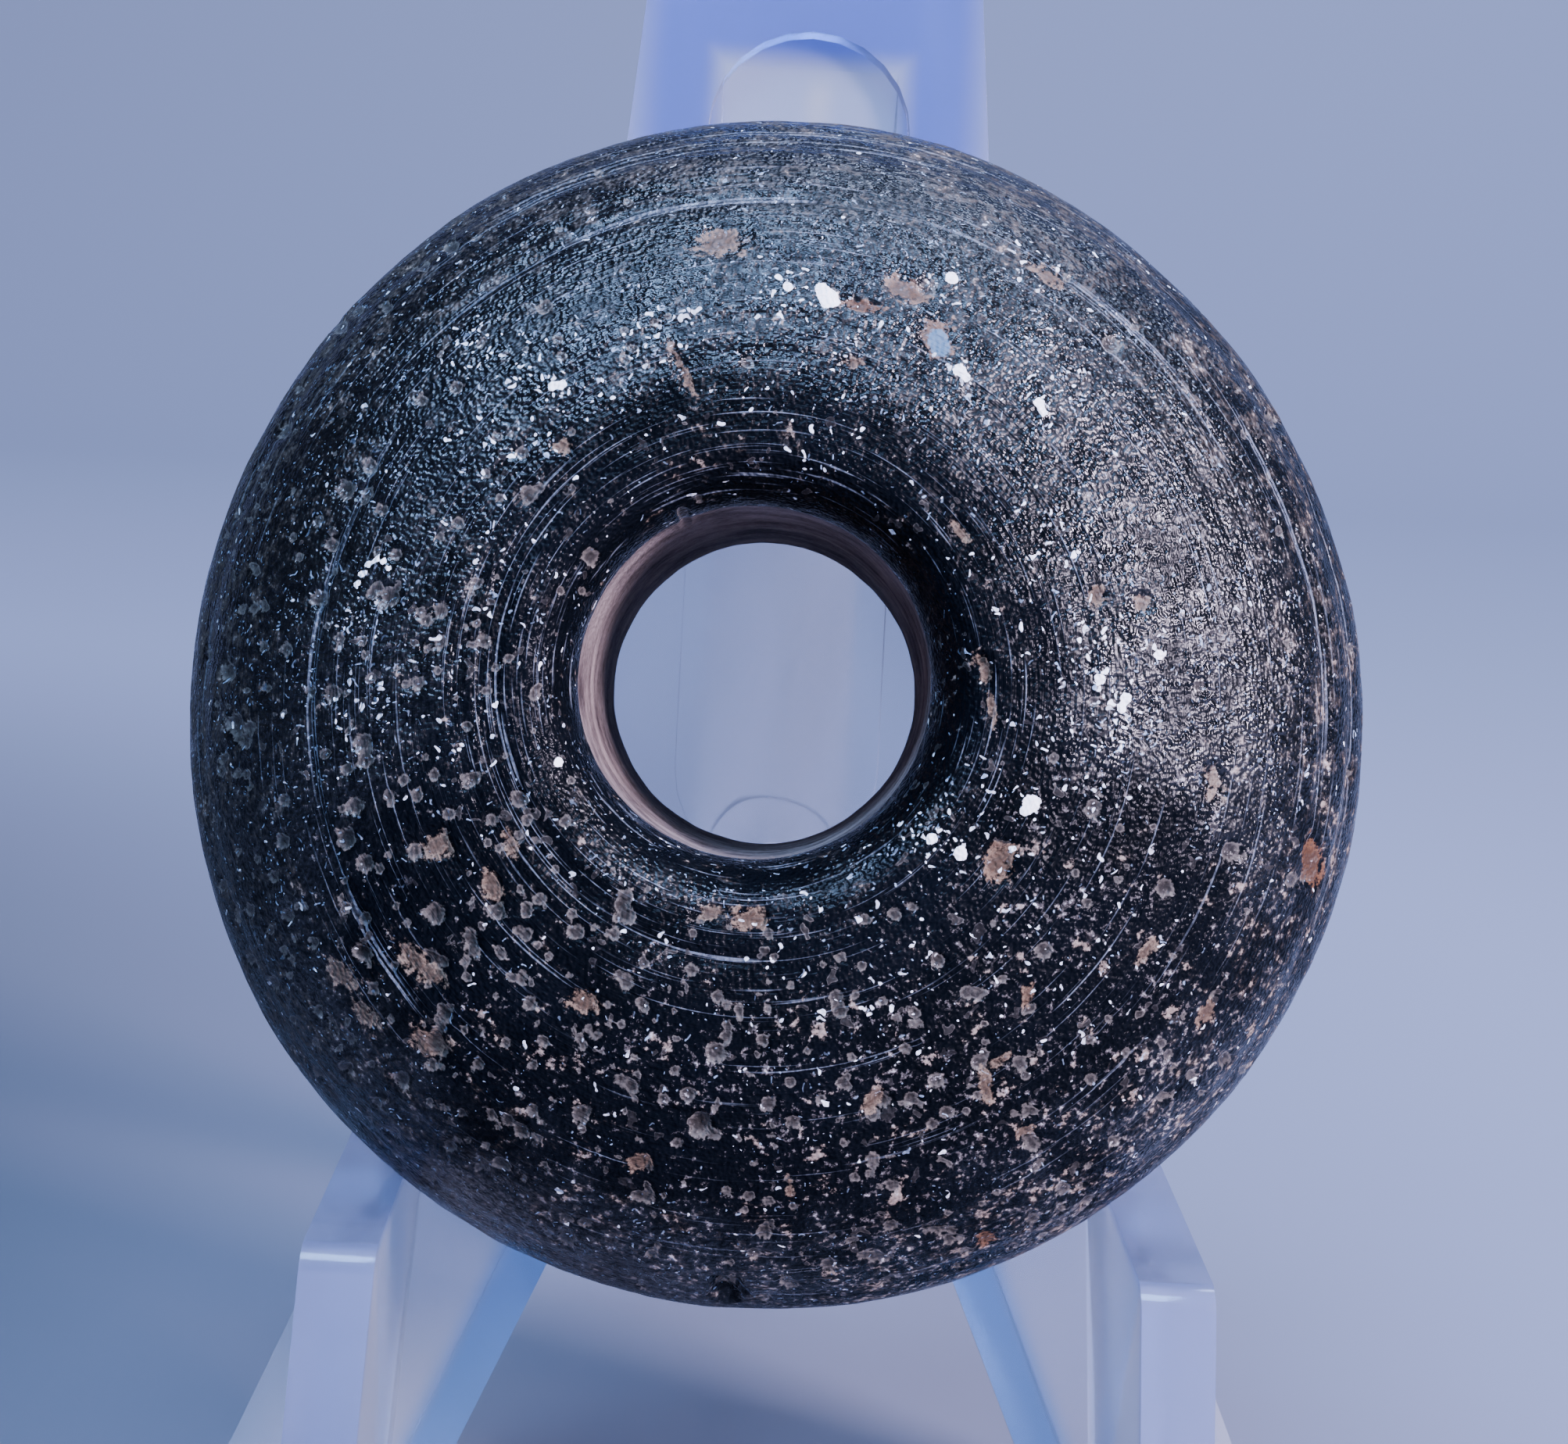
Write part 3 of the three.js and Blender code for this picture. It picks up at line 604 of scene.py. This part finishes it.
    # Each chip's earth darkens toward its middle as painted shade in its hollow, and also in random dark
    # mottles
    chip_shade_and_mottles = add(tree, "ShaderNodeMapRange", SMOOTH,
                      {"Value": earth_edge, "From Min": 2.25, "From Max": 2.6, "To Max": 0.75})
    mottles = add(tree, "ShaderNodeMapRange", SMOOTH,
                  {"Value": ragged, "From Min": 0.45, "From Max": 0.56, "To Min": 0.6, "To Max": 0.0})
    chip_shade_and_mottles = add(tree, "ShaderNodeMath", {"operation": "MAXIMUM"}, {0: chip_shade_and_mottles, 1: mottles})
    earth_colour = add(tree, "ShaderNodeMix", RGBA,
                       {"Factor_Float": chip_shade_and_mottles, "A_Color": earth_colour, "B_Color": colour("#2b201b")},
                       MIXED)
    mottled = add(tree, "ShaderNodeMath", {"operation": "MULTIPLY_ADD"}, {0: ragged, 1: 0.5, 2: streaks})
    mottled = add(tree, "ShaderNodeMapRange", None, {"Value": mottled, "From Min": 0.5, "From Max": 1.0})
    bore_colour = add(tree, "ShaderNodeMix", RGBA,
                      {"Factor_Float": mottled, "A_Color": colour("#3d3434"), "B_Color": colour("#8a7c79")},
                      MIXED)
    surface = glass
    for mask, layer in (
            (film_and_sheen, film_and_sheen_colour), (flecks, fleck_colour), (lines, colour("#707783")),
            (crumbs, crumb_colour), (bubble_mask, bubble_colour), (bubble_heart, colour("#121113")),
            (pits, pit_colour), (pit_heart, colour("#1b191a")), (grain_glint_mask, grain_glint_colour),
            (earth, earth_colour),
            (bright_flecks, colour("#a8a4a6")), (blue, colour("#48647a")), (white_mask, white_colour),
            (spots, colour("#f6f6f6")), (in_bore, bore_colour)):
        surface = add(tree, "ShaderNodeMix", RGBA,
                      {"Factor_Float": mask, "A_Color": surface, "B_Color": layer}, MIXED)

    # Satin glass, unevenly etched, and rougher under film and earth and in the bore
    etched = add(tree, "ShaderNodeMapRange", None,
                 {"Value": patchy, "From Min": 0.4, "From Max": 0.65, "To Max": 0.45})
    dull = add(tree, "ShaderNodeMath", {"operation": "MAXIMUM"}, {0: film_and_sheen, 1: etched})
    for mask in (earth, in_bore, flecks):
        dull = add(tree, "ShaderNodeMath", {"operation": "MAXIMUM"}, {0: dull, 1: mask})
    roughness = add(tree, "ShaderNodeMapRange", None, {"Value": dull, "To Min": 0.2, "To Max": 0.75})

    # The etched skin breaks the shine into points. The real etching is far finer than the tenth of
    # a millimetre that it is drawn at, so that it shows.
    skin = add(tree, "ShaderNodeTexNoise", None, {"Vector": place, "Scale": 1 / (0.1 * MM), "Detail": 0.0})
    normal = add(tree, "ShaderNodeBump", None, {"Strength": 1.0, "Distance": 0.05 * MM, "Height": skin})
    normal = add(tree, "ShaderNodeBump", None,
                 {"Strength": 0.6, "Distance": 0.04 * MM, "Height": streaks, "Normal": normal})
    # The glass keeps its polish best where the pale grains and painted glints lie, and the soil has etched
    # it elsewhere
    polish = add(tree, "ShaderNodeMath", {"operation": "MULTIPLY_ADD"},
                 {0: field["film_and_sheen"], 1: 0.5, 2: field["grains_and_glints"]})
    polish = add(tree, "ShaderNodeMapRange", SMOOTH,
                 {"Value": polish, "From Min": 0.12, "From Max": 0.66, "To Min": 0.05, "To Max": 0.45})
    pricked = add(tree, "ShaderNodeMapRange", None,
                  {"Value": ragged, "From Min": 0.38, "From Max": 0.6, "To Min": 0.4, "To Max": 1.35})
    polish = add(tree, "ShaderNodeMath", {"operation": "MULTIPLY"}, {0: polish, 1: pricked})
    shader = add(tree, "ShaderNodeBsdfPrincipled", None,
                 {"Base Color": surface, "Roughness": roughness, "IOR": 1.52, "Specular IOR Level": polish,
                  "Normal": normal})
    add(tree, "ShaderNodeOutputMaterial", None, {"Surface": shader}, None)
    return material


def clear_acrylic():
    """Moulded clear acrylic: polished, faintly blue-violet, with a slow ripple left by the mould."""
    material, tree = new_material("clear_acrylic")
    place = add(tree, "ShaderNodeTexCoord", output="Object")
    haze = add(tree, "ShaderNodeTexNoise", None, {"Vector": place, "Scale": 1 / (6 * MM), "Detail": 2.0})
    roughness = add(tree, "ShaderNodeMapRange", None,
                    {"Value": haze, "From Min": 0.3, "From Max": 0.7, "To Min": 0.12, "To Max": 0.24})
    flow = add(tree, "ShaderNodeTexNoise", None, {"Vector": place, "Scale": 1 / (3.5 * MM), "Detail": 1.0})
    ripple = add(tree, "ShaderNodeBump", None, {"Strength": 0.25, "Distance": 0.1 * MM, "Height": flow})
    to_right = add(tree, "ShaderNodeSeparateXYZ", None, {"Vector": place}, "X")
    forward = to_right.node.outputs["Y"]
    height = to_right.node.outputs["Z"]
    aside = add(tree, "ShaderNodeMath", {"operation": "ABSOLUTE"}, {0: to_right})

    # The ribs beside the thin panel are thick and look bluer. The panel ends in square shoulders.
    past_side = add(tree, "ShaderNodeMath", {"operation": "SUBTRACT"}, {0: aside, 1: PANEL_HALF})
    past_top = add(tree, "ShaderNodeMath", {"operation": "SUBTRACT"}, {0: height, 1: PANEL_TOP_HEIGHT})
    past = add(tree, "ShaderNodeMath", {"operation": "MAXIMUM"}, {0: past_side, 1: past_top})
    rib = add(tree, "ShaderNodeMapRange", SMOOTH,
              {"Value": past, "From Min": -0.5 * MM, "From Max": 0.4 * MM})
    high = add(tree, "ShaderNodeMapRange", SMOOTH,
               {"Value": height, "From Min": BLUER_FROM, "From Max": BLUEST_FROM})
    rib = add(tree, "ShaderNodeMath", {"operation": "MULTIPLY"}, {0: rib, 1: high})

    # A painted glow, light caught in the plastic, runs down the inner edge of each leg as a bright band
    past_gap = add(tree, "ShaderNodeMath", {"operation": "MULTIPLY_ADD"},
                   {0: height, 1: GAP_SLOPE, 2: aside})
    leg_edge_glow = add(tree, "ShaderNodeMapRange", SMOOTH,
               {"Value": past_gap, "From Min": GAP_AT_TABLE + 1.0 * MM,
                "From Max": GAP_AT_TABLE + 1.9 * MM, "To Min": 1.0, "To Max": 0.0})
    low = add(tree, "ShaderNodeMapRange", SMOOTH,
              {"Value": height, "From Min": ARM_TOP - 1.1 * MM, "From Max": ARM_TOP + 1.9 * MM,
               "To Min": 1.0, "To Max": 0.0})
    leg_edge_glow = add(tree, "ShaderNodeMath", {"operation": "MULTIPLY"}, {0: leg_edge_glow, 1: low})
    beside = add(tree, "ShaderNodeMath", {"operation": "GREATER_THAN"}, {0: aside, 1: REAR_LEG_HALF})
    leg_edge_glow = add(tree, "ShaderNodeMath", {"operation": "MULTIPLY"}, {0: leg_edge_glow, 1: beside})

    # The feet's fronts get a painted glow, and their flat tops, the arms, painted shade
    foot_front_glow = add(tree, "ShaderNodeMapRange", SMOOTH,
                     {"Value": forward, "From Min": FOOT_FRONT + 0.15 * MM,
                      "From Max": FOOT_FRONT + 0.5 * MM, "To Min": 1.0, "To Max": 0.0})
    arm_top_shade = add(tree, "ShaderNodeMapRange", SMOOTH,
              {"Value": height, "From Min": ARM_TOP - 0.4 * MM, "From Max": ARM_TOP - 0.1 * MM})
    below_arm = add(tree, "ShaderNodeMath", {"operation": "LESS_THAN"}, {0: height, 1: ARM_TOP + 0.1 * MM})
    arm_top_shade = add(tree, "ShaderNodeMath", {"operation": "MULTIPLY"}, {0: arm_top_shade, 1: below_arm})
    on_arm = add(tree, "ShaderNodeMath", {"operation": "GREATER_THAN"}, {0: aside, 1: ARM_INNER_SIDE})
    arm_top_shade = add(tree, "ShaderNodeMath", {"operation": "MULTIPLY"}, {0: arm_top_shade, 1: on_arm})
    leg = add(tree, "ShaderNodeMapRange", SMOOTH, {"Value": aside, "From Min": 4 * MM, "From Max": 6 * MM})

    # A painted highlight: a soft white streak where a ridge of the plastic catches the light, down the top
    # of the panel
    ridge_highlight = add(tree, "ShaderNodeMath", {"operation": "MULTIPLY_ADD"},
                {0: height, 1: -RIDGE_SLOPE, 2: to_right})
    ridge_highlight = add(tree, "ShaderNodeMath", {"operation": "ADD"}, {0: ridge_highlight, 1: RIDGE_AT_TABLE})
    ridge_highlight = add(tree, "ShaderNodeMath", {"operation": "ABSOLUTE"}, {0: ridge_highlight})
    ridge_highlight = add(tree, "ShaderNodeMapRange", SMOOTH,
                {"Value": ridge_highlight, "From Min": 0.0, "From Max": 0.65 * MM, "To Min": 1.0, "To Max": 0.0})
    below_top = add(tree, "ShaderNodeMapRange", SMOOTH,
                    {"Value": height, "From Min": PANEL_TOP_HEIGHT - 1.2 * MM,
                     "From Max": PANEL_TOP_HEIGHT - 0.2 * MM, "To Min": 1.0, "To Max": 0.0})
    ridge_highlight = add(tree, "ShaderNodeMath", {"operation": "MULTIPLY"}, {0: ridge_highlight, 1: below_top})
    above_whorl = add(tree, "ShaderNodeMapRange", SMOOTH,
                      {"Value": height, "From Min": BLUEST_FROM, "From Max": BLUEST_FROM + 4 * MM})
    ridge_highlight = add(tree, "ShaderNodeMath", {"operation": "MULTIPLY"}, {0: ridge_highlight, 1: above_whorl})

    tint = add(tree, "ShaderNodeMix", RGBA,
               {"Factor_Float": high, "A_Color": colour("#f4f8ff"), "B_Color": colour("#e6edfd")}, MIXED)
    for mask, layer in (
            (rib, "#8fa4f2"), (leg, "#eff4ff"), (leg_edge_glow, "#9ccdff"), (arm_top_shade, "#a4b2e2"),
            (foot_front_glow, "#b8c9ff"), (ridge_highlight, "#ffffff")):
        tint = add(tree, "ShaderNodeMix", RGBA,
                   {"Factor_Float": mask, "A_Color": tint, "B_Color": colour(layer)}, MIXED)
    shader = add(tree, "ShaderNodeBsdfPrincipled", None,
                 {"Base Color": tint, "Roughness": roughness, "IOR": 1.49,
                  "Transmission Weight": 0.88, "Normal": ripple})
    add(tree, "ShaderNodeOutputMaterial", None, {"Surface": shader}, None)
    return material


def pale_paper():
    """Matte studio paper in a pale grey-blue, with painted shade that deepens evenly toward one place."""
    material, tree = new_material("pale_paper")
    place = add(tree, "ShaderNodeTexCoord", output="Object")
    away = add(tree, "ShaderNodeVectorMath", {"operation": "DISTANCE"},
               {0: place, 1: PAINTED_SHADE_CENTRE}, "Value")
    away = add(tree, "ShaderNodeMapRange", SMOOTH,
               {"Value": away, "From Min": 50 * MM, "From Max": 183 * MM})
    tone = add(tree, "ShaderNodeMix", RGBA,
               {"Factor_Float": away, "A_Color": colour("#32353e"), "B_Color": colour("#7b8095")}, MIXED)
    shader = add(tree, "ShaderNodeBsdfPrincipled", None, {"Base Color": tone, "Roughness": 0.9})
    add(tree, "ShaderNodeOutputMaterial", None, {"Surface": shader}, None)
    return material


# The easel: the solid model's own form, with its edges eased as a mould leaves them. The places where its
# plastic is painted with glow, shade and a highlight, and where it looks bluer, are in metres, as its
# material reads them.

EDGE_ROUNDING = 0.28 * MM
PANEL_HALF, PANEL_TOP_HEIGHT = 2.75 * MM, 41.6 * MM
BLUER_FROM, BLUEST_FROM = 30 * MM, 37 * MM
GAP_SLOPE, GAP_AT_TABLE = 0.4455, 9.19 * MM
FOOT_FRONT, ARM_TOP, ARM_INNER_SIDE = -19.5 * MM, 12.1 * MM, 8.5 * MM
REAR_LEG_HALF = 3.5 * MM
RIDGE_SLOPE, RIDGE_AT_TABLE = 0.055, 1.97 * MM


def make_easel():
    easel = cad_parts["display_easel"].copy()
    easel.data = easel.data.copy()
    easel.parent = None
    for key in list(easel.keys()):
        del easel[key]
    easel.name = "easel_acrylic"
    bpy.context.scene.collection.objects.link(easel)
    select_only(easel)
    bpy.ops.object.mode_set(mode="EDIT")
    bpy.ops.mesh.select_all(action="SELECT")
    bpy.ops.mesh.remove_doubles(threshold=0.001 * MM)
    bpy.ops.mesh.dissolve_limited(angle_limit=math.radians(0.5))
    bpy.ops.object.mode_set(mode="OBJECT")
    bevel = easel.modifiers.new("eased edges", "BEVEL")
    bevel.width = EDGE_ROUNDING
    bevel.segments = 3
    bevel.limit_method = "ANGLE"
    bevel.angle_limit = math.radians(30)
    bpy.ops.object.modifier_apply(modifier=bevel.name)
    bpy.ops.object.shade_smooth_by_angle(angle=math.radians(35))
    easel.data.materials.clear()
    easel.data.materials.append(clear_acrylic())
    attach(easel, "root")
    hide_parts("display_easel")
    return easel


# The studio

# Where the painted shade on the floor paper is deepest, in metres
PAINTED_SHADE_CENTRE = (-0.12, 0.02, 0.0)
FLOOR_WIDTH, FLOOR_LENGTH, FLOOR_MIDDLE = 3.6, 3.0, -0.7
WALL_HEIGHT, WALL_BEND = 1.4, 0.4
FLOOR_SINK = 0.02 * MM


def make_sweep():
    """A pale floor that curves up into a backdrop."""
    bpy.ops.object.select_all(action="DESELECT")
    bpy.ops.mesh.primitive_plane_add(size=1.0, location=(0, FLOOR_MIDDLE, 0))
    sweep = bpy.context.object
    sweep.scale = (FLOOR_WIDTH, FLOOR_LENGTH, 1.0)
    bpy.ops.object.transform_apply(location=True, rotation=False, scale=True)
    bpy.ops.object.mode_set(mode="EDIT")
    bpy.ops.mesh.select_all(action="DESELECT")
    bpy.ops.object.mode_set(mode="OBJECT")
    for edge in sweep.data.edges:
        edge.select = all(sweep.data.vertices[i].co.y > 0.5 for i in edge.vertices)
    bpy.ops.object.mode_set(mode="EDIT")
    bpy.ops.mesh.extrude_region_move(TRANSFORM_OT_translate={"value": (0, 0, WALL_HEIGHT)})
    bpy.ops.object.mode_set(mode="OBJECT")
    for edge in sweep.data.edges:
        edge.select = all(sweep.data.vertices[i].co.y > 0.5 and sweep.data.vertices[i].co.z < 0.1
                          for i in edge.vertices)
    bpy.ops.object.mode_set(mode="EDIT")
    bpy.ops.mesh.bevel(offset=WALL_BEND, segments=24)
    bpy.ops.object.mode_set(mode="OBJECT")
    bpy.ops.object.shade_smooth()
    sweep.name = "pale_floor"
    sweep.data.transform(Matrix.Translation((0, 0, -FLOOR_SINK)))
    sweep.data.materials.append(pale_paper())


def area_light(name, place, target, size, power, hex_value):
    data = bpy.data.lights.new(name, "AREA")
    data.shape = "RECTANGLE"
    data.size, data.size_y = size
    data.energy = power
    data.color = colour(hex_value)[:3]
    light = bpy.data.objects.new(name, data)
    bpy.context.scene.collection.objects.link(light)
    light.location = place
    light.rotation_euler = (Vector(target) - Vector(place)).to_track_quat("-Z", "Y").to_euler()
    return light


def make_studio():
    low, high = cad_box
    middle = (low + high) / 2
    make_sweep()
    area_light("top_softbox", (-0.07, -0.20, 0.33), middle, (0.26, 0.16), 3.75, "#9ec6ff")
    area_light("right_softbox", (0.26, -0.25, 0.15), middle, (0.1, 0.12), 5.7, "#f2e3ff")
    area_light("backdrop_light", (0.28, 0.2, 0.75), (0.28, 0.75, 0.15), (0.7, 0.3), 15.2, "#bccefa")
    world = bpy.data.worlds.new("studio_air")
    world.use_nodes = True
    bpy.context.scene.world = world
    air = world.node_tree.nodes["Background"]
    air.inputs["Color"].default_value = colour("#c2c6e0")
    air.inputs["Strength"].default_value = 0.21


def make_camera():
    """A camera where the photograph was taken from, aimed so that the whorl's centre meets its pixel."""
    low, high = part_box("spindle_whorl")
    target = (low + high) / 2
    forward = Vector((math.sin(LOOK_ASIDE) * math.cos(LOOK_DOWN),
                      math.cos(LOOK_ASIDE) * math.cos(LOOK_DOWN), -math.sin(LOOK_DOWN)))
    level = forward.cross(Vector((0, 0, 1))).normalized()
    upright = level.cross(forward)
    right = level * math.cos(CAMERA_ROLL) + upright * math.sin(CAMERA_ROLL)
    up = upright * math.cos(CAMERA_ROLL) - level * math.sin(CAMERA_ROLL)
    aside = (WHORL_PIXEL[0] - PHOTO_WIDTH / 2) / FOCAL_PIXELS
    below = (WHORL_PIXEL[1] - PHOTO_HEIGHT / 2) / FOCAL_PIXELS
    place = target - (forward + right * aside - up * below) * CAMERA_DISTANCE
    data = bpy.data.cameras.new("photo_view")
    data.sensor_width = SENSOR_WIDTH
    data.lens = SENSOR_WIDTH * FOCAL_PIXELS / PHOTO_WIDTH
    data.clip_start, data.clip_end = 0.005, 10
    camera = bpy.data.objects.new("photo_view", data)
    bpy.context.scene.collection.objects.link(camera)
    camera.matrix_world = Matrix((
        (right.x, up.x, -forward.x, place.x),
        (right.y, up.y, -forward.y, place.y),
        (right.z, up.z, -forward.z, place.z),
        (0, 0, 0, 1),
    ))
    bpy.context.scene.camera = camera


make_camera()
make_studio()
make_whorl()
make_easel()
